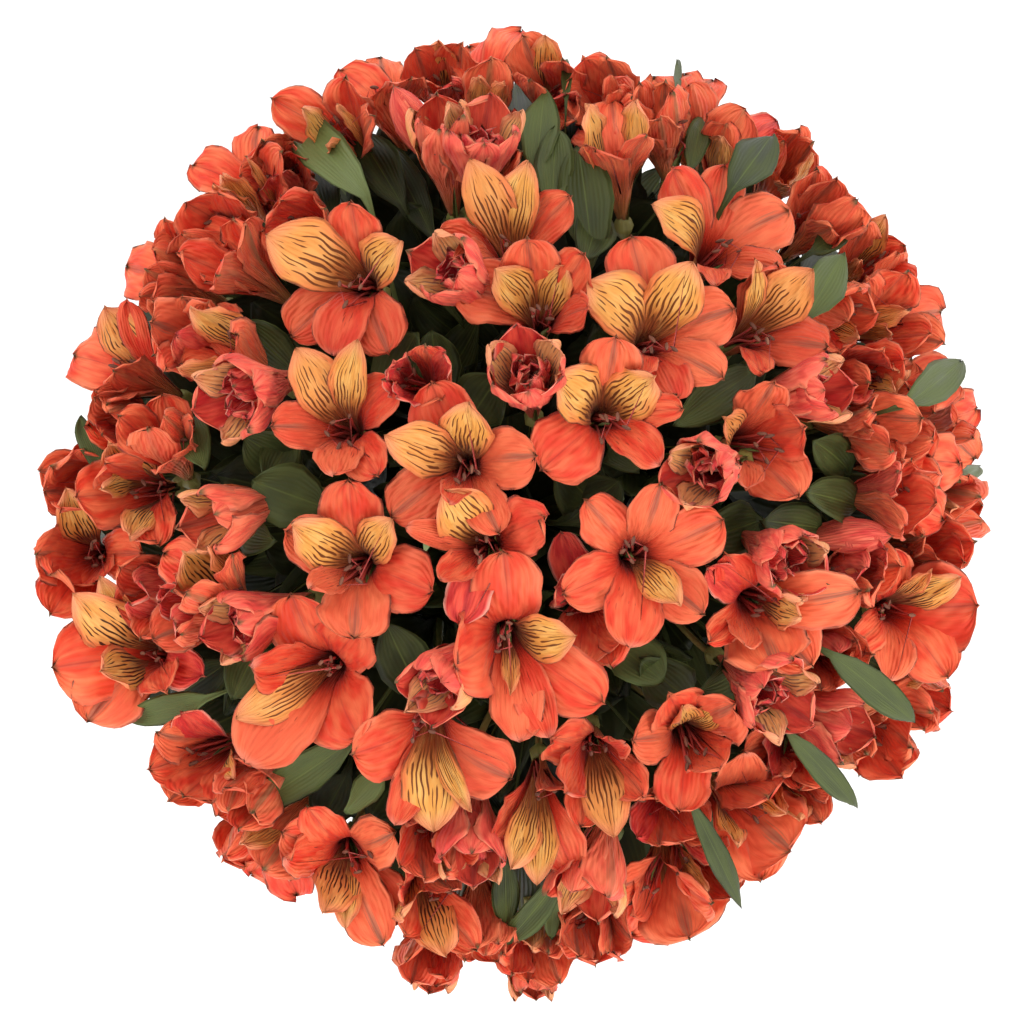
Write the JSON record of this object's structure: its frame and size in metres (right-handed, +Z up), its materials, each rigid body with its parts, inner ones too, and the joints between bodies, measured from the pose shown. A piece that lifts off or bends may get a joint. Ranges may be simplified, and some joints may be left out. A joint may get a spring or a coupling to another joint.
{
  "type": "alstroemeria bouquet",
  "caption": "Hand-tied dome of orange-red alstroemeria: branching flower stems laid in a spiral, bound at the waist, standing on their cut ends.",
  "frame": {"origin": "on the surface that the cut stem ends stand on, under the middle of the bouquet's box", "axes": "+Z up through the dome of florets, and +Y is the top of the picture's picture, which looks down -Z"},
  "size_m": [0.338, 0.3384, 0.4059],
  "materials": {
    "flowering_stem": "satin living petal, coral to orange-red, with green leaves and stalks",
    "twine": "matt twisted natural fibre"
  },
  "bodies": {
    "root": {"alstroemeria_stem_01": "flowering_stem", "alstroemeria_stem_02": "flowering_stem", "alstroemeria_stem_03": "flowering_stem", "alstroemeria_stem_04": "flowering_stem", "alstroemeria_stem_05": "flowering_stem", "alstroemeria_stem_06": "flowering_stem", "alstroemeria_stem_07": "flowering_stem", "alstroemeria_stem_08": "flowering_stem", "alstroemeria_stem_09": "flowering_stem", "alstroemeria_stem_10": "flowering_stem", "alstroemeria_stem_11": "flowering_stem", "alstroemeria_stem_12": "flowering_stem", "alstroemeria_stem_13": "flowering_stem", "alstroemeria_stem_14": "flowering_stem", "alstroemeria_stem_15": "flowering_stem", "alstroemeria_stem_16": "flowering_stem", "alstroemeria_stem_17": "flowering_stem", "alstroemeria_stem_18": "flowering_stem", "alstroemeria_stem_19": "flowering_stem", "alstroemeria_stem_20": "flowering_stem", "binding_twine": "twine"}
  },
  "joints": []
}
